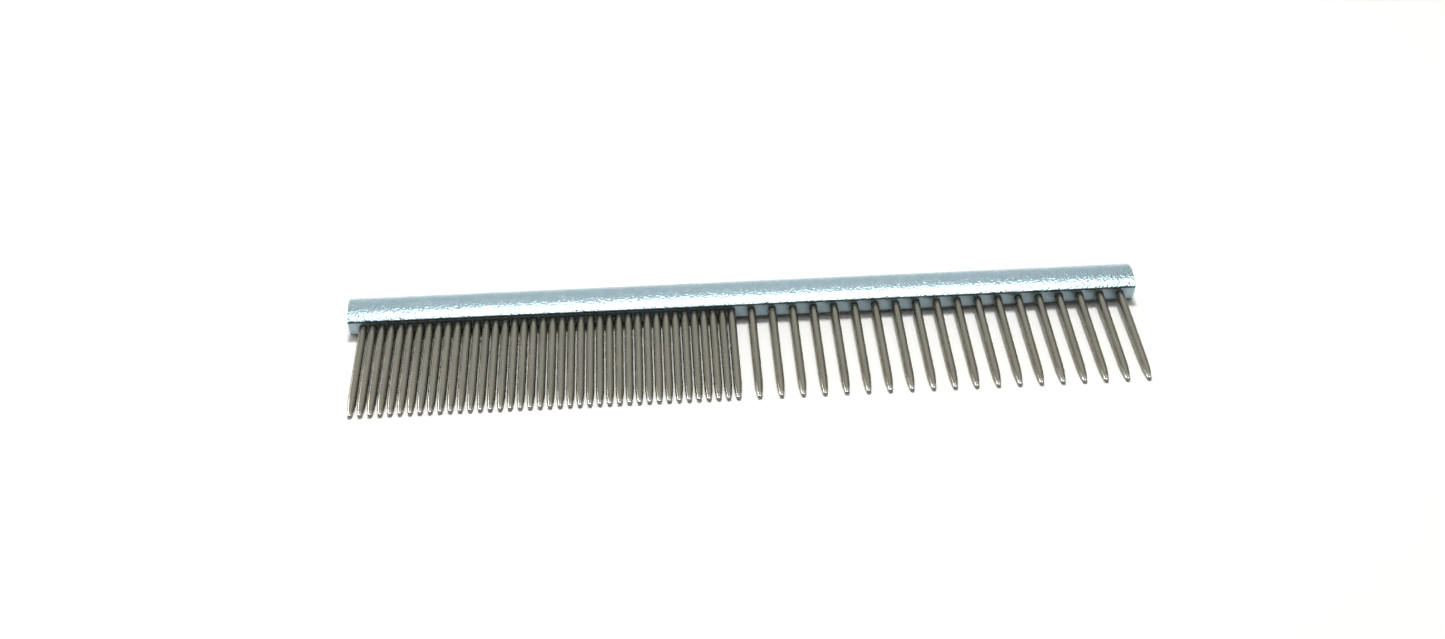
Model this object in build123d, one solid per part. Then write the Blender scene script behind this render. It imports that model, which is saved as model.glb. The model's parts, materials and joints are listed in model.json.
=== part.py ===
from build123d import *

import math
import os

# A steel grooming comb: one solid spine bar with round steel teeth pressed into its flat face,
# close together on the left and wide apart on the right. Millimetres, +Z up, X along the spine,
# teeth towards -Y. It is modelled as it lies on a table: on the spine's flank and on the
# undersides of the teeth near their points. The origin is the middle of that footprint.

# Rows of teeth. The coarse row fills what the other sizes leave of the spine.
spine_length = 190.0
end_margin = 3.6  # from each end of the spine to the axis of the nearest tooth
fine_tooth_count = 40
fine_gap = 0.31  # clear between two fine teeth
coarse_tooth_count = 19
group_gap = 4.84  # from the last fine axis to the first coarse axis

# Spine: a bar with an elliptical section, cut off by the flat that the teeth stand on.
spine_thickness = 7.0
crown_reach = 5.2  # from the thickest line of the section to the crown of its rounded back
tooth_face_height = 4.1
face_edge_radius = 0.4  # where the flat meets the round flanks
end_edge_radius = 0.2  # round both square-cut ends, less than face_edge_radius

# Teeth: round steel pins, straight from the spine to a long taper with a blunt point.
tooth_length = 28.6  # out of the spine
tooth_diameter = 1.95
point_taper_length = 6.0  # with the rounded nose
nose_radius = 0.5

# The press fit: a tooth's thinner tenon goes into a blind socket, and the shoulder round the
# tenon seats on the tooth face.
tenon_length = 4.6
tenon_chamfer = 0.15
shoulder_width = 0.325
shoulder_chamfer = 0.1
socket_clearance = 0.02  # on the diameter
socket_relief = 0.2  # left beyond the tenon
socket_countersink = 0.1

# Places of the teeth along X, from the left end.
fine_pitch = tooth_diameter + fine_gap
fine_row_length = (fine_tooth_count - 1) * fine_pitch
coarse_row_length = spine_length - 2 * end_margin - fine_row_length - group_gap
coarse_pitch = coarse_row_length / (coarse_tooth_count - 1)
first_fine_x = end_margin - spine_length / 2
first_coarse_x = first_fine_x + fine_row_length + group_gap
fine_places = [first_fine_x + i * fine_pitch for i in range(fine_tooth_count)]
coarse_places = [first_coarse_x + i * coarse_pitch for i in range(coarse_tooth_count)]

# The tooth face is the plane Y = 0 while the pieces are made, with the spine behind it.
half_thickness = spine_thickness / 2
face_offset = crown_reach * math.sqrt(1 - (tooth_face_height / spine_thickness) ** 2)
tooth_radius = tooth_diameter / 2
tenon_radius = tooth_radius - shoulder_width

# The taper is one arc, tangent to the straight shank and to the round nose.
taper_start = tooth_length - point_taper_length
nose_centre = tooth_length - nose_radius
taper_run = nose_centre - taper_start
taper_arc_radius = (taper_run**2 + tooth_radius**2 - nose_radius**2) / (
    2 * (tooth_radius - nose_radius)
)
taper_slope = math.asin(taper_run / (taper_arc_radius - nose_radius))
taper_end = nose_centre + nose_radius * math.sin(taper_slope)
taper_end_radius = nose_radius * math.cos(taper_slope)


def spine_reach(lean):
    """How far the spine reaches below the middle of its tooth face, at this lean."""
    flank = math.hypot(crown_reach * math.sin(lean), half_thickness * math.cos(lean))
    return flank - face_offset * math.sin(lean)


def taper_reach(lean):
    """How far a tooth's tapered underside reaches below its axis where the taper starts."""
    return taper_arc_radius - (taper_arc_radius - tooth_radius) * math.cos(lean)


# The lean at which the spine's flank and the teeth touch the table together.
lean = 0.0
for step in range(30):
    lean = math.asin((spine_reach(lean) - taper_reach(lean)) / taper_start)

# The footprint runs from the crown of the spine to the noses of the teeth.
crown_swing = math.hypot(crown_reach * math.cos(lean), half_thickness * math.sin(lean))
back_edge = face_offset * math.cos(lean) + crown_swing
front_edge = nose_centre * math.cos(lean) + nose_radius
as_it_lies = Pos(0, (front_edge - back_edge) / 2, spine_reach(lean)) * Rot(
    math.degrees(lean), 0, 0
)


def make_spine():
    """The bar, with a blind, countersunk socket for each tooth in its flat face."""
    left_end = Plane(origin=(-spine_length / 2, 0, 0), x_dir=(0, 1, 0), z_dir=(1, 0, 0))
    tooth_face = Plane(origin=(0, 0, 0), x_dir=(1, 0, 0), z_dir=(0, -1, 0))
    with BuildPart() as bar:
        with BuildSketch(left_end) as section:
            with Locations((face_offset, 0)):
                Ellipse(crown_reach, half_thickness)
            with Locations((-crown_reach, 0)):
                Rectangle(2 * crown_reach, 2 * spine_thickness, mode=Mode.SUBTRACT)
            fillet(section.vertices().group_by(Axis.X)[0], face_edge_radius)
        extrude(amount=spine_length)
        ends = bar.edges().group_by(Axis.X)
        fillet(ends[0] + ends[-1], end_edge_radius)
        with BuildSketch(tooth_face):
            with Locations([(x, 0) for x in fine_places + coarse_places]):
                Circle(tenon_radius + socket_clearance / 2)
        extrude(amount=-tenon_length - socket_relief, mode=Mode.SUBTRACT)
        mouths = bar.edges().filter_by(GeomType.CIRCLE).group_by(Axis.Y)[0]
        chamfer(mouths, socket_countersink)
    return bar.part


def make_tooth():
    """One pin on the Y axis: tenon, shoulder, straight shank, taper and rounded nose."""
    with BuildPart() as pin:
        with BuildSketch():
            with BuildLine():
                Polyline(
                    (0, -tooth_length),
                    (0, tenon_length),
                    (tenon_radius - tenon_chamfer, tenon_length),
                    (tenon_radius, tenon_length - tenon_chamfer),
                    (tenon_radius, 0),
                    (tooth_radius - shoulder_chamfer, 0),
                    (tooth_radius, -shoulder_chamfer),
                    (tooth_radius, -taper_start),
                )
                TangentArc(
                    (tooth_radius, -taper_start), (taper_end_radius, -taper_end), tangent=(0, -1)
                )
                TangentArc((0, -tooth_length), (taper_end_radius, -taper_end), tangent=(1, 0))
            make_face()
        revolve(axis=Axis.Y)
    return pin.part


def save(piece, node):
    """Lays one piece as the comb lies and writes it under its node's name."""
    export_step(as_it_lies * piece, f"parts/{node}.step")


os.makedirs("parts", exist_ok=True)
save(make_spine(), "spine")
tooth = make_tooth()
for number, x in enumerate(fine_places, start=1):
    save(Pos(x, 0, 0) * tooth, f"fine_tooth_{number:02d}")
for number, x in enumerate(coarse_places, start=1):
    save(Pos(x, 0, 0) * tooth, f"coarse_tooth_{number:02d}")

print("lean", round(math.degrees(lean), 3), "coarse pitch", round(coarse_pitch, 3))
print("depth on the table", round(front_edge + back_edge, 3))
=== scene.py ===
import json
import math

import bmesh
import bpy
from mathutils import Matrix, Vector


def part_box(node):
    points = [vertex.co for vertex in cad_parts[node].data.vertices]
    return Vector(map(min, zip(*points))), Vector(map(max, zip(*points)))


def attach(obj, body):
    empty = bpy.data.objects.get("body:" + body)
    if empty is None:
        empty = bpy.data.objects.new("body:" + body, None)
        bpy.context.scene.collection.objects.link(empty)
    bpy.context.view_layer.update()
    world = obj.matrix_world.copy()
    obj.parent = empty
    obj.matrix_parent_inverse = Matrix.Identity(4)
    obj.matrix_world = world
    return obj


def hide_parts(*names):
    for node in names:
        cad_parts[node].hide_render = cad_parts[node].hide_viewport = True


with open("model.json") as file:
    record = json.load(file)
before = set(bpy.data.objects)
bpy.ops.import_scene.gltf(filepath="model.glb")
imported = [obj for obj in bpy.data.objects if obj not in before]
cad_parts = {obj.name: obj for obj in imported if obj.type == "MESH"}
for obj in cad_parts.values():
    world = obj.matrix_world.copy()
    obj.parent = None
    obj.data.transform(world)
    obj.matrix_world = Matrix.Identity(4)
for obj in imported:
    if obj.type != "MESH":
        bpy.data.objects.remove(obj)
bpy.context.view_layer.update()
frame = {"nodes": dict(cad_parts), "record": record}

scene = bpy.context.scene
MM = 0.001


# Spine: a solid steel bar rolled to a flattened oval, with a flat milled along one side and
# drilled for the teeth. It is sawn square, deburred, tumbled to a pebbled skin and zinc plated
# in a bright blue-white finish.
CROWN_REACH = 5.2 * MM
HALF_THICKNESS = 3.5 * MM
FACE_HALF_HEIGHT = 2.05 * MM
FACE_EDGE_RADIUS = 0.4 * MM
END_EDGE_RADIUS = 0.2 * MM
SOCKET_RADIUS = 0.66 * MM
SOCKET_DEPTH = 4.8 * MM
COUNTERSINK = 0.1 * MM
CUT_CLEAR = 0.1 * MM  # the drill starts this far out of the face
SECTION_SIDES = 160
DRILL_SIDES = 24
FACE_EDGE_STEPS = 6
END_EDGE_STEPS = 3
SHARP_ANGLE = math.radians(34)  # edges sharper than this stay crisp
SKIN_RELIEF = 0.13 * MM  # the deepest pebbling
ZINC = (0.54, 0.74, 0.83)
ZINC_PALE = (0.70, 0.86, 0.92)
ZINC_GLINT = (0.86, 0.95, 0.98)
ZINC_FACE = (0.30, 0.385, 0.43)
ZINC_SHADE = (0.13, 0.165, 0.18)
ZINC_EDGE_SHADE = (0.07, 0.085, 0.09)
ZINC_WORN = (0.62, 0.70, 0.73)
SOCKET_SHADE = (0.025, 0.025, 0.024)

spine_low, spine_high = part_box("spine")
face_offset = CROWN_REACH * math.sqrt(1 - (FACE_HALF_HEIGHT / HALF_THICKNESS) ** 2)
tooth_nodes = [name for name in sorted(frame["nodes"]) if name != "spine"]

# The comb lies on the flank of its spine and on the undersides of its teeth, so it leans a few
# degrees. Each piece is shaped upright in the comb's own frame, with the tooth face in the
# plane Y = 0 and the teeth towards -Y, and is then laid down by this matrix.
clip = next(m for m in frame["record"]["mounts"] if m["name"] == "spine_clip")
towards_crown = Vector(clip["axis"]).normalized()
face_middle = Vector(clip["pos_m"]) - towards_crown * (CROWN_REACH + face_offset)
lean = math.atan2(towards_crown.z, towards_crown.y)
as_it_lies = Matrix.Translation(face_middle) @ Matrix.Rotation(lean, 4, "X")


def tooth_place(node):
    """Where a tooth's axis stands along the spine."""
    low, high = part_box(node)
    return (low.x + high.x) / 2


def turned(outline, sides):
    """A closed round shape on the Y axis from (radius, y) points that start and end on it."""
    bm = bmesh.new()
    line = [bm.verts.new((radius, y, 0)) for radius, y in outline]
    edges = [bm.edges.new(pair) for pair in zip(line, line[1:])]
    bmesh.ops.spin(
        bm,
        geom=line + edges,
        axis=(0, 1, 0),
        cent=(0, 0, 0),
        angle=2 * math.pi,
        steps=sides,
        use_merge=True,
    )
    bmesh.ops.remove_doubles(bm, verts=bm.verts, dist=0.0002 * MM)
    bmesh.ops.recalc_face_normals(bm, faces=bm.faces)
    return bm


def finish_piece(bm, name, material, node):
    """Lays a shaped piece down, gives it its finish and lets it stand for its CAD node."""
    bmesh.ops.transform(bm, matrix=as_it_lies, verts=bm.verts)
    mesh = bpy.data.meshes.new(name)
    bm.to_mesh(mesh)
    bm.free()
    mesh.polygons.foreach_set("use_smooth", [True] * len(mesh.polygons))
    mesh.set_sharp_from_angle(angle=SHARP_ANGLE)
    mesh.materials.append(material)
    piece = bpy.data.objects.new(name, mesh)
    scene.collection.objects.link(piece)
    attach(piece, "root")
    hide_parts(node)


def add(tree, kind, links=None, **settings):
    """Adds a node, sets its properties, and links or sets its inputs by name or number."""
    node = tree.nodes.new(kind)
    for key, value in settings.items():
        setattr(node, key, value)
    for key, value in (links or {}).items():
        socket = node.inputs[key]
        if isinstance(value, bpy.types.NodeSocket):
            tree.links.new(value, socket)
        else:
            socket.default_value = value
    return node


def maths(tree, operation, a, b=0.0, c=0.0):
    """One Math node's result."""
    return add(tree, "ShaderNodeMath", {0: a, 1: b, 2: c}, operation=operation).outputs[0]


def fade(tree, value, start, end):
    """0 up to start, 1 from end on, smooth between. It falls where end is below start."""
    rising = start < end
    links = {
        "Value": value,
        "From Min": min(start, end),
        "From Max": max(start, end),
        "To Min": 0.0 if rising else 1.0,
        "To Max": 1.0 if rising else 0.0,
    }
    node = add(tree, "ShaderNodeMapRange", links, interpolation_type="SMOOTHSTEP")
    return node.outputs["Result"]


def stretched(tree, place, x, y, z):
    """The place with its axes scaled, so that a pattern runs along the axis with the least."""
    links = {0: place, 1: (x, y, z)}
    return add(tree, "ShaderNodeVectorMath", links, operation="MULTIPLY").outputs[0]


def noise(tree, place, scale, detail=2.0, roughness=0.5):
    """A noise's value, about 0.5 in the middle."""
    links = {"Vector": place, "Scale": scale, "Detail": detail, "Roughness": roughness}
    return add(tree, "ShaderNodeTexNoise", links).outputs["Fac"]


def blend(tree, share, a, b):
    """One colour mixed into another."""
    links = {0: share, 6: a, 7: b}
    links.update({key: (*links[key], 1.0) for key in (6, 7) if isinstance(links[key], tuple)})
    return add(tree, "ShaderNodeMix", links, data_type="RGBA").outputs[2]


def placed(tree, group, **inputs):
    """The result of a shader group placed in a material with its own values."""
    return add(tree, "ShaderNodeGroup", inputs, node_tree=group).outputs[0]


def new_group(name, inputs, output, output_kind="NodeSocketFloat"):
    """An empty shader group with named inputs and one output."""
    group = bpy.data.node_groups.new(name, "ShaderNodeTree")
    for label, default in inputs.items():
        kind = "NodeSocketVector" if isinstance(default, tuple) else "NodeSocketFloat"
        socket = group.interface.new_socket(label, in_out="INPUT", socket_type=kind)
        socket.default_value = default
    group.interface.new_socket(output, in_out="OUTPUT", socket_type=output_kind)
    given = group.nodes.new("NodeGroupInput").outputs
    return group, given, group.nodes.new("NodeGroupOutput").inputs[output]


# Comb place: the shaded point in the comb's own frame, in millimetres, so that a noise of
# scale 2 has two features to the millimetre.
comb_place, _, place_out = new_group("comb place", {}, "Place", "NodeSocketVector")
object_place = add(comb_place, "ShaderNodeTexCoord").outputs["Object"]
from_face = add(
    comb_place,
    "ShaderNodeVectorMath",
    {0: object_place, 1: tuple(face_middle)},
    operation="SUBTRACT",
).outputs[0]
upright = add(
    comb_place,
    "ShaderNodeVectorRotate",
    {"Vector": from_face, "Angle": -lean},
    rotation_type="X_AXIS",
).outputs[0]
in_mm = add(
    comb_place, "ShaderNodeVectorMath", {0: upright, "Scale": 1 / MM}, operation="SCALE"
).outputs[0]
comb_place.links.new(in_mm, place_out)

# Handling marks: faint smears and dull fingertip patches that change the gloss of both metals.
handling, handling_in, handling_out = new_group(
    "handling marks", {"Place": (0.0, 0.0, 0.0), "Size": 0.12, "Amount": 0.5}, "Smear"
)
smear = noise(handling, handling_in["Place"], handling_in["Size"], 4.0, 0.6)
smear = maths(handling, "MULTIPLY", fade(handling, smear, 0.42, 0.68), handling_in["Amount"])
handling.links.new(smear, handling_out)

# Patchy: breaks up a mask with noise, for plating worn off an edge or painted shade in a corner.
patchy, patchy_in, patchy_out = new_group(
    "patchy", {"Place": (0.0, 0.0, 0.0), "Mask": 0.0, "Size": 1.0, "Break": 0.6}, "Patches"
)
uneven = noise(patchy, patchy_in["Place"], patchy_in["Size"], 4.0, 0.6)
uneven = maths(patchy, "SUBTRACT", uneven, 0.5)
uneven = maths(patchy, "MULTIPLY_ADD", uneven, patchy_in["Break"], patchy_in["Mask"])
patchy.links.new(fade(patchy, uneven, 0.32, 0.68), patchy_out)


def metal(name):
    """A new metal material: its tree, shader inputs, place in millimetres and that place's axes."""
    material = bpy.data.materials.new(name)
    material.use_nodes = True
    tree = material.node_tree
    tree.nodes.clear()
    shader = add(tree, "ShaderNodeBsdfPrincipled", {"Metallic": 1.0})
    add(tree, "ShaderNodeOutputMaterial", {"Surface": shader.outputs[0]})
    place = placed(tree, comb_place)
    axes = add(tree, "ShaderNodeSeparateXYZ", {0: place}).outputs
    return material, tree, shader.inputs, place, axes


def zinc_plate():
    """Bright zinc plate: pebbled on the back, milled on the flat, sawn at the ends."""
    material, tree, shader, place, axes = metal("zinc plate")
    spine_end = spine_high.x / MM

    # Where each finish lies. Places are in millimetres from the middle of the tooth face.
    along = maths(tree, "ABSOLUTE", axes["X"])
    aside = maths(tree, "ABSOLUTE", axes["Z"])
    on_end = fade(tree, along, spine_end - 0.03, spine_end - 0.005)
    near_face = fade(tree, axes["Y"], 0.12, 0.02)
    at_face = maths(tree, "MULTIPLY", near_face, fade(tree, aside, 2.0, 1.8))
    flat = maths(tree, "MAXIMUM", at_face, on_end)

    # Painted shade in the sockets: their walls, which stop short of the rounded back and of both
    # ends, are coloured near black.
    behind_face = fade(tree, axes["Y"], 0.02, 0.12)
    inside = maths(tree, "MULTIPLY", behind_face, fade(tree, aside, 1.3, 1.2))
    inside = maths(tree, "MULTIPLY", inside, fade(tree, axes["Y"], 7.0, 6.0))
    short_of_end = fade(tree, along, spine_end - 1.5, spine_end - 1.6)
    in_socket = maths(tree, "MULTIPLY", inside, short_of_end)

    # Painted shade darkens the flat between the teeth, and dulls its gloss there.
    along_teeth = fade(tree, along, spine_end - 1.4, spine_end - 2.8)
    toothed = maths(tree, "MULTIPLY", at_face, along_teeth)
    painted_shade = placed(tree, patchy, Place=place, Mask=toothed, Size=0.9, Break=0.9)

    # Painted shade follows the long edges of the face: a dark line for the dim room mirrored in
    # their rounding, which spreads on the lower edge as painted shadow under the flat.
    past_edge = maths(tree, "SUBTRACT", aside, FACE_HALF_HEIGHT / MM)
    past_edge = maths(tree, "ABSOLUTE", past_edge)
    from_edge = maths(tree, "ADD", past_edge, maths(tree, "ABSOLUTE", axes["Y"]))
    at_edge = fade(tree, from_edge, 0.42, 0.22)
    low_down = fade(tree, axes["Z"], -1.60, -1.85)
    below = maths(tree, "MULTIPLY", low_down, fade(tree, axes["Y"], 1.4, 0.8))
    at_edge = maths(tree, "MAXIMUM", at_edge, maths(tree, "MULTIPLY", below, 1.1))
    edge_shade = placed(tree, patchy, Place=place, Mask=at_edge, Size=1.1, Break=0.8)

    # The plating is rubbed pale near the ends, and handling dulls it in smears.
    near_end = fade(tree, along, spine_end - 0.5, spine_end - 0.15)
    at_end_edge = maths(tree, "MULTIPLY", near_end, 0.6)
    worn = placed(tree, patchy, Place=place, Mask=at_end_edge, Size=1.4, Break=0.7)
    marks = placed(tree, handling, Place=place, Size=0.12, Amount=0.5)

    # Relief: pebbles on the back, cutter and saw marks on the flats.
    pebbles = noise(tree, place, 1.8, 0.5, 0.5)
    dimples = fade(tree, noise(tree, place, 3.1, 1.0, 0.5), 0.52, 0.78)
    grain = noise(tree, place, 6.0, 3.0, 0.6)
    skin = maths(tree, "MULTIPLY_ADD", dimples, -0.25, pebbles)
    skin = maths(tree, "MULTIPLY_ADD", grain, 0.04, skin)
    cutter = noise(tree, stretched(tree, place, 0.25, 1.0, 3.0), 3.0, 3.0, 0.6)
    saw = noise(tree, stretched(tree, place, 1.0, 0.25, 3.0), 3.0, 3.0, 0.6)
    tooled = add(tree, "ShaderNodeMix", {0: on_end, 2: cutter, 3: saw}).outputs[0]
    tooled = maths(tree, "MULTIPLY_ADD", grain, 0.5, tooled)
    tooled = maths(tree, "MULTIPLY", tooled, 0.14)
    height = add(tree, "ShaderNodeMix", {0: flat, 2: skin, 3: tooled}).outputs[0]
    bump_links = {"Height": height, "Strength": 1.0, "Distance": SKIN_RELIEF}
    bump = add(tree, "ShaderNodeBump", bump_links)
    tree.links.new(bump.outputs[0], shader["Normal"])

    # Colour: a faint cloud in the plate and bright specks painted in as glints off the pebbles,
    # then the face's colour, painted shade, worn plating and the sockets' painted shade over it.
    cloud = fade(tree, noise(tree, place, 0.35, 4.0, 0.6), 0.35, 0.7)
    glint_speck = fade(tree, noise(tree, place, 3.2, 2.0, 0.6), 0.60, 0.70)
    colour = blend(tree, maths(tree, "MULTIPLY", cloud, 0.35), ZINC, ZINC_PALE)
    colour = blend(tree, maths(tree, "MULTIPLY", glint_speck, 0.7), colour, ZINC_GLINT)
    colour = blend(tree, at_face, colour, ZINC_FACE)
    colour = blend(tree, maths(tree, "MULTIPLY", painted_shade, 0.3), colour, ZINC_SHADE)
    colour = blend(tree, edge_shade, colour, ZINC_EDGE_SHADE)
    colour = blend(tree, worn, colour, ZINC_WORN)
    colour = blend(tree, in_socket, colour, SOCKET_SHADE)
    tree.links.new(colour, shader["Base Color"])

    # Gloss: brightest on the back, duller on the flats, in the painted shade and in the sockets.
    rough = maths(tree, "MULTIPLY_ADD", marks, 0.06, 0.14)
    rough = maths(tree, "MULTIPLY_ADD", flat, 0.12, rough)
    rough = maths(tree, "MULTIPLY_ADD", painted_shade, 0.08, rough)
    rough = maths(tree, "MULTIPLY_ADD", in_socket, 0.4, rough)
    tree.links.new(rough, shader["Roughness"])
    return material


def plain_object(bm, name):
    """A loose object that only lends its shape to a cut."""
    mesh = bpy.data.meshes.new(name)
    bm.to_mesh(mesh)
    bm.free()
    made = bpy.data.objects.new(name, mesh)
    scene.collection.objects.link(made)
    return made


def runs_along(edge):
    """Whether an edge of the bar runs along it."""
    return abs(edge.verts[0].co.x - edge.verts[1].co.x) > MM


# The bar: an ellipse cut off by the flat, drawn out along X, with every edge broken.
bar_bm = bmesh.new()
bmesh.ops.create_circle(bar_bm, cap_ends=True, segments=SECTION_SIDES, radius=1.0)
face_along_x = Matrix(((0, 0, 1, 0), (1, 0, 0, 0), (0, 1, 0, 0), (0, 0, 0, 1)))
bmesh.ops.transform(bar_bm, matrix=face_along_x, verts=bar_bm.verts)
bmesh.ops.scale(bar_bm, vec=(1, CROWN_REACH, HALF_THICKNESS), verts=bar_bm.verts)
bmesh.ops.translate(bar_bm, vec=(spine_low.x, face_offset, 0), verts=bar_bm.verts)
section = bar_bm.verts[:] + bar_bm.edges[:] + bar_bm.faces[:]
bmesh.ops.bisect_plane(
    bar_bm, geom=section, plane_co=(0, 0, 0), plane_no=(0, -1, 0), clear_outer=True
)
drawn_out = bmesh.ops.extrude_face_region(bar_bm, geom=bar_bm.faces[:])["geom"]
far_end = [v for v in drawn_out if isinstance(v, bmesh.types.BMVert)]
bmesh.ops.translate(bar_bm, vec=(spine_high.x - spine_low.x, 0, 0), verts=far_end)
bmesh.ops.recalc_face_normals(bar_bm, faces=bar_bm.faces)

corner_turn = math.atan2(FACE_HALF_HEIGHT / HALF_THICKNESS**2, face_offset / CROWN_REACH**2)
corners = [
    e
    for e in bar_bm.edges
    if runs_along(e) and max(abs(v.co.y) for v in e.verts) < 0.001 * MM
]
bmesh.ops.bevel(
    bar_bm,
    geom=corners,
    offset=FACE_EDGE_RADIUS * math.tan(corner_turn / 2),
    affect="EDGES",
    segments=FACE_EDGE_STEPS,
    profile=0.5,
    material=-1,
)
rims = [e for e in bar_bm.edges if not runs_along(e)]
bmesh.ops.bevel(
    bar_bm,
    geom=rims,
    offset=END_EDGE_RADIUS,
    affect="EDGES",
    segments=END_EDGE_STEPS,
    profile=0.5,
    material=-1,
)
bmesh.ops.recalc_face_normals(bar_bm, faces=bar_bm.faces)

# The sockets: one drill with a countersinking shoulder for each tooth, cut out of the bar.
drill_outline = [
    (0, -CUT_CLEAR),
    (SOCKET_RADIUS + COUNTERSINK + CUT_CLEAR, -CUT_CLEAR),
    (SOCKET_RADIUS, COUNTERSINK),
    (SOCKET_RADIUS, SOCKET_DEPTH),
    (0, SOCKET_DEPTH),
]
one_drill = bpy.data.meshes.new("drill")
drill_bm = turned(drill_outline, DRILL_SIDES)
drill_bm.to_mesh(one_drill)
drill_bm.free()
drills_bm = bmesh.new()
for node in tooth_nodes:
    made_before = len(drills_bm.verts)
    drills_bm.from_mesh(one_drill)
    drills_bm.verts.ensure_lookup_table()
    this_drill = drills_bm.verts[made_before:]
    bmesh.ops.translate(drills_bm, vec=(tooth_place(node), 0, 0), verts=this_drill)
bar = plain_object(bar_bm, "bar")
drills = plain_object(drills_bm, "drills")
cut = bar.modifiers.new("sockets", "BOOLEAN")
cut.operation = "DIFFERENCE"
cut.solver = "EXACT"
cut.object = drills
bpy.context.view_layer.update()
drilled_bar = bar.evaluated_get(bpy.context.evaluated_depsgraph_get())
spine_bm = bmesh.new()
spine_bm.from_mesh(drilled_bar.to_mesh())
drilled_bar.to_mesh_clear()
bpy.data.objects.remove(bar)
bpy.data.objects.remove(drills)
finish_piece(spine_bm, "spine_bar", zinc_plate(), "spine")


# Teeth: round steel pins cut from drawn wire, turned to a tenon at one end and a long blunt
# taper at the other, the noses polished, then pressed into the spine's sockets.
PIN_RADIUS = 0.975 * MM
PIN_LENGTH = 28.6 * MM
TENON_RADIUS = 0.65 * MM
TENON_LENGTH = 4.6 * MM
TENON_CHAMFER = 0.15 * MM
SHOULDER_CHAMFER = 0.1 * MM
POINT_TAPER = 6.0 * MM
NOSE_RADIUS = 0.5 * MM
PIN_SIDES = 32
TAPER_STEPS = 8
NOSE_STEPS = 8
DRAWN_RELIEF = 0.003 * MM  # the depth of the draw lines, rings and pits
STEEL = (0.41, 0.395, 0.33)
STEEL_POLISHED_HIGHLIGHT = (0.72, 0.71, 0.69)
STEEL_TIP_SHADE = (0.24, 0.235, 0.21)
STEEL_STAIN = (0.21, 0.20, 0.155)
STEEL_SHADE = (0.09, 0.085, 0.07)
STEEL_GRAZING = (0.55, 0.53, 0.48)  # its tint at a grazing angle, duller than clean steel's


def pin_outline():
    """Half a tooth's outline, from the end of its tenon to its nose."""
    outline = [
        (0, TENON_LENGTH),
        (TENON_RADIUS - TENON_CHAMFER, TENON_LENGTH),
        (TENON_RADIUS, TENON_LENGTH - TENON_CHAMFER),
        (TENON_RADIUS, 0),
        (PIN_RADIUS - SHOULDER_CHAMFER, 0),
        (PIN_RADIUS, -SHOULDER_CHAMFER),
    ]
    run = POINT_TAPER - NOSE_RADIUS
    point_arc = (run**2 + PIN_RADIUS**2 - NOSE_RADIUS**2) / (2 * (PIN_RADIUS - NOSE_RADIUS))
    slope = math.asin(run / (point_arc - NOSE_RADIUS))
    for step in range(TAPER_STEPS + 1):
        angle = slope * step / TAPER_STEPS
        radius = PIN_RADIUS - point_arc * (1 - math.cos(angle))
        outline.append((radius, POINT_TAPER - PIN_LENGTH - point_arc * math.sin(angle)))
    for step in range(1, NOSE_STEPS):
        angle = slope + (math.pi / 2 - slope) * step / NOSE_STEPS
        along = NOSE_RADIUS - PIN_LENGTH - NOSE_RADIUS * math.sin(angle)
        outline.append((NOSE_RADIUS * math.cos(angle), along))
    outline.append((0, -PIN_LENGTH))
    return outline


def drawn_steel():
    """Bare steel: draw lines on the shank, rings on the taper, a polished nose painted bright as a
    highlight, and painted shade on the tip.
    """
    material, tree, shader, place, axes = metal("drawn steel")
    shader["Specular Tint"].default_value = (*STEEL_GRAZING, 1.0)
    taper_start = (POINT_TAPER - PIN_LENGTH) / MM
    tip = -PIN_LENGTH / MM
    on_taper = fade(tree, axes["Y"], taper_start, taper_start - 2.4)
    on_nose = fade(tree, axes["Y"], tip + 1.6, tip + 0.9)
    # Painted shade on the tip, for the dim room in front mirrored in the ball of the nose, is cut
    # off aslant, so that it shows more on the underside.
    towards_tip = maths(tree, "MULTIPLY_ADD", axes["Z"], 1.2, axes["Y"])
    tip_shade = fade(tree, towards_tip, tip + 0.9, tip + 0.5)
    # Painted shade on the roots, where the teeth go into the flat; it also dulls their gloss there.
    at_root = fade(tree, axes["Y"], -0.7, -0.1)
    painted_shade = placed(tree, patchy, Place=place, Mask=at_root, Size=1.2, Break=0.5)
    marks = placed(tree, handling, Place=place, Size=0.25, Amount=0.6)

    drawn = stretched(tree, place, 1.0, 0.05, 1.0)
    lines = noise(tree, drawn, 7.0, 2.0, 0.6)
    rings = noise(tree, stretched(tree, place, 0.1, 1.0, 0.1), 5.0, 2.0, 0.6)
    rings = maths(tree, "MULTIPLY", rings, on_taper)
    pits = noise(tree, place, 4.0, 3.0, 0.6)
    height = maths(tree, "ADD", maths(tree, "ADD", lines, rings), pits)
    bump_links = {"Height": height, "Strength": 1.0, "Distance": DRAWN_RELIEF}
    bump = add(tree, "ShaderNodeBump", bump_links)
    tree.links.new(bump.outputs[0], shader["Normal"])

    stain = fade(tree, noise(tree, drawn, 1.3, 3.0, 0.6), 0.48, 0.72)
    colour = blend(tree, maths(tree, "MULTIPLY", stain, 0.35), STEEL, STEEL_STAIN)
    # The polished noses are also painted brighter, a painted highlight on top of the real polish in
    # their roughness.
    colour = blend(tree, on_nose, colour, STEEL_POLISHED_HIGHLIGHT)
    colour = blend(tree, tip_shade, colour, STEEL_TIP_SHADE)
    colour = blend(tree, painted_shade, colour, STEEL_SHADE)
    tree.links.new(colour, shader["Base Color"])
    rough = maths(tree, "MULTIPLY_ADD", marks, 0.10, 0.25)
    rough = maths(tree, "MULTIPLY_ADD", on_nose, -0.16, rough)
    rough = maths(tree, "MULTIPLY_ADD", painted_shade, 0.2, rough)
    tree.links.new(rough, shader["Roughness"])
    return material


steel = drawn_steel()
for node in tooth_nodes:
    pin_bm = turned(pin_outline(), PIN_SIDES)
    bmesh.ops.translate(pin_bm, vec=(tooth_place(node), 0, 0), verts=pin_bm.verts)
    finish_piece(pin_bm, node.replace("tooth", "pin"), steel, node)


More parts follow.
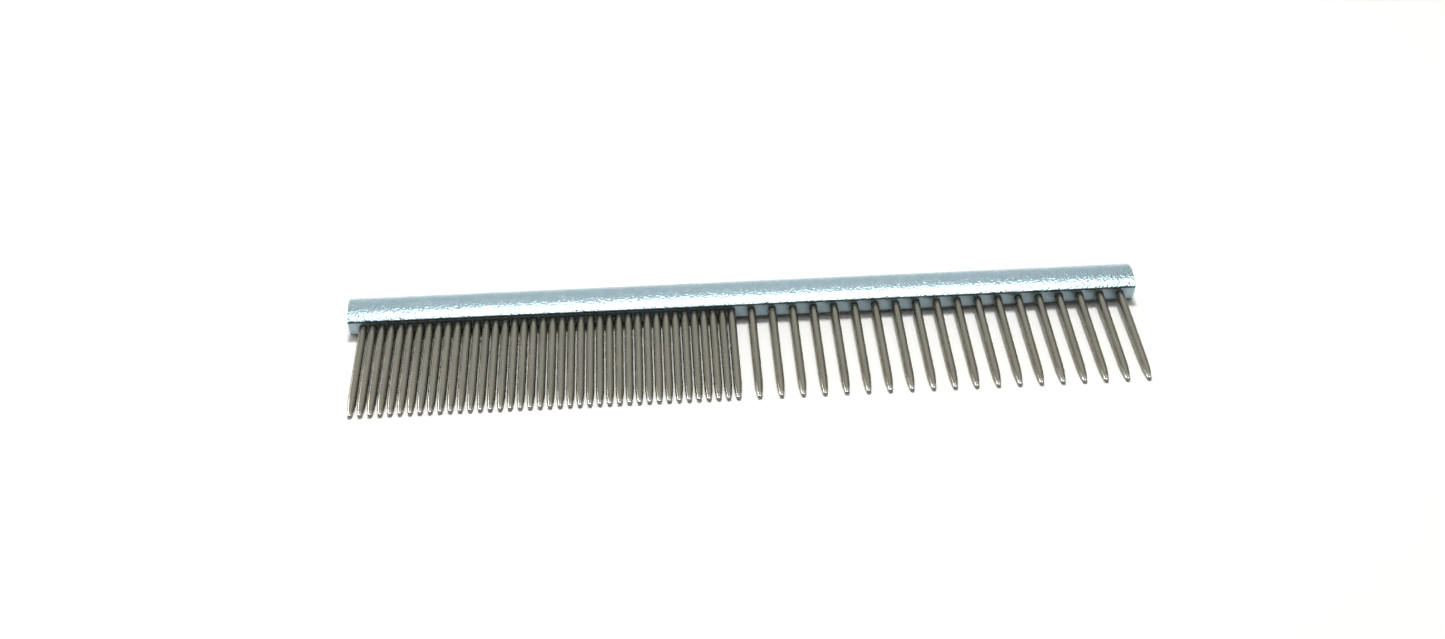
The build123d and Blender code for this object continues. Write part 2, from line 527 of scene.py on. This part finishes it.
# Floor: a sheet of matt white card that the comb lies on, larger than anything the camera
# sees, with the faintest variation of its fibres.
FLOOR_REACH = 3.0  # metres from its middle to each side
FIBRES = 900.0  # to the metre
CARD = (0.90, 0.895, 0.87)
CARD_PALE = (0.95, 0.945, 0.925)
floor_bm = bmesh.new()
bmesh.ops.create_grid(floor_bm, x_segments=1, y_segments=1, size=FLOOR_REACH)
floor_mesh = bpy.data.meshes.new("floor")
floor_bm.to_mesh(floor_mesh)
floor_bm.free()
card = bpy.data.materials.new("white card")
card.use_nodes = True
card_shader = card.node_tree.nodes["Principled BSDF"].inputs
card_place = add(card.node_tree, "ShaderNodeTexCoord").outputs["Object"]
fibre = noise(card.node_tree, card_place, FIBRES, 4.0, 0.6)
card_colour = blend(card.node_tree, fibre, CARD, CARD_PALE)
card.node_tree.links.new(card_colour, card_shader["Base Color"])
card_shader["Roughness"].default_value = 0.85
floor_mesh.materials.append(card)
floor = bpy.data.objects.new("floor", floor_mesh)
scene.collection.objects.link(floor)


# Light: a pale room, dimmer at the sides and dimmest in front. A wide softbox overhead is only
# mirrored in the metal, a ceiling lamp only lights the card and casts the shadows, and a small
# low lamp stands behind the left end.
ROOM = (0.62, 0.62, 0.61)
ROOM_SIDE = (0.34, 0.34, 0.335)
ROOM_FRONT = (0.20, 0.20, 0.20)


def softbox(name, place, aim, width, depth, radiance):
    """A rectangular area light of an even brightness, turned to face a point."""
    light = bpy.data.lights.new(name, "AREA")
    light.shape = "RECTANGLE"
    light.size = width
    light.size_y = depth
    light.energy = radiance * math.pi * width * depth
    lamp = bpy.data.objects.new(name, light)
    lamp.location = place
    lamp.rotation_euler = (Vector(aim) - Vector(place)).to_track_quat("-Z", "Y").to_euler()
    lamp.visible_camera = False
    scene.collection.objects.link(lamp)
    return lamp


overhead = softbox(
    "overhead",
    place=(0.06, -0.28, 0.8),
    aim=(0.06, -0.28, 0.0),
    width=1.3,
    depth=0.78,
    radiance=2.1,
)
overhead.visible_diffuse = False
ceiling_lamp = softbox(
    "ceiling lamp",
    place=(0.0, 0.16, 0.8),
    aim=(0.0, 0.0, 0.0),
    width=0.16,
    depth=0.16,
    radiance=62.0,
)
ceiling_lamp.visible_glossy = False
softbox(
    "left lamp",
    place=(-0.38, 0.15, 0.10),
    aim=(0.0, 0.0, 0.0),
    width=0.12,
    depth=0.12,
    radiance=8.0,
)

world = bpy.data.worlds.new("room")
scene.world = world
world.use_nodes = True
room = world.node_tree
room.nodes.clear()
direction = add(room, "ShaderNodeTexCoord").outputs["Generated"]
facing = add(room, "ShaderNodeSeparateXYZ", {0: direction}).outputs
to_side = fade(room, maths(room, "ABSOLUTE", facing["X"]), 0.35, 0.65)
walls = blend(room, to_side, ROOM, ROOM_SIDE)
walls = blend(room, fade(room, facing["Y"], -0.30, -0.62), walls, ROOM_FRONT)
background = add(room, "ShaderNodeBackground", {"Color": walls, "Strength": 1.0})
add(room, "ShaderNodeOutputWorld", {"Surface": background.outputs[0]})
scene.view_settings.view_transform = "Standard"


# Camera: a hand-held phone above the near edge of the table, a little left of the middle,
# looking down at about forty degrees and rolled by a degree.
CAMERA_PLACE = Vector((-18.5, -275.8, 234.4)) * MM
CAMERA_AIM = Vector((-5.4, 10.5, 0.0)) * MM
CAMERA_ROLL = math.radians(-0.99)
SENSOR_WIDTH = 36.0  # in millimetres, as Blender takes it
LENS = 37.99
NEAREST_SEEN = 0.01
camera_data = bpy.data.cameras.new("camera")
camera_data.sensor_width = SENSOR_WIDTH
camera_data.lens = LENS
camera_data.clip_start = NEAREST_SEEN
camera = bpy.data.objects.new("camera", camera_data)
looking = (CAMERA_AIM - CAMERA_PLACE).to_track_quat("-Z", "Y").to_matrix()
camera.matrix_world = Matrix.Translation(CAMERA_PLACE) @ (
    looking @ Matrix.Rotation(CAMERA_ROLL, 3, "Z")
).to_4x4()
scene.collection.objects.link(camera)
scene.camera = camera
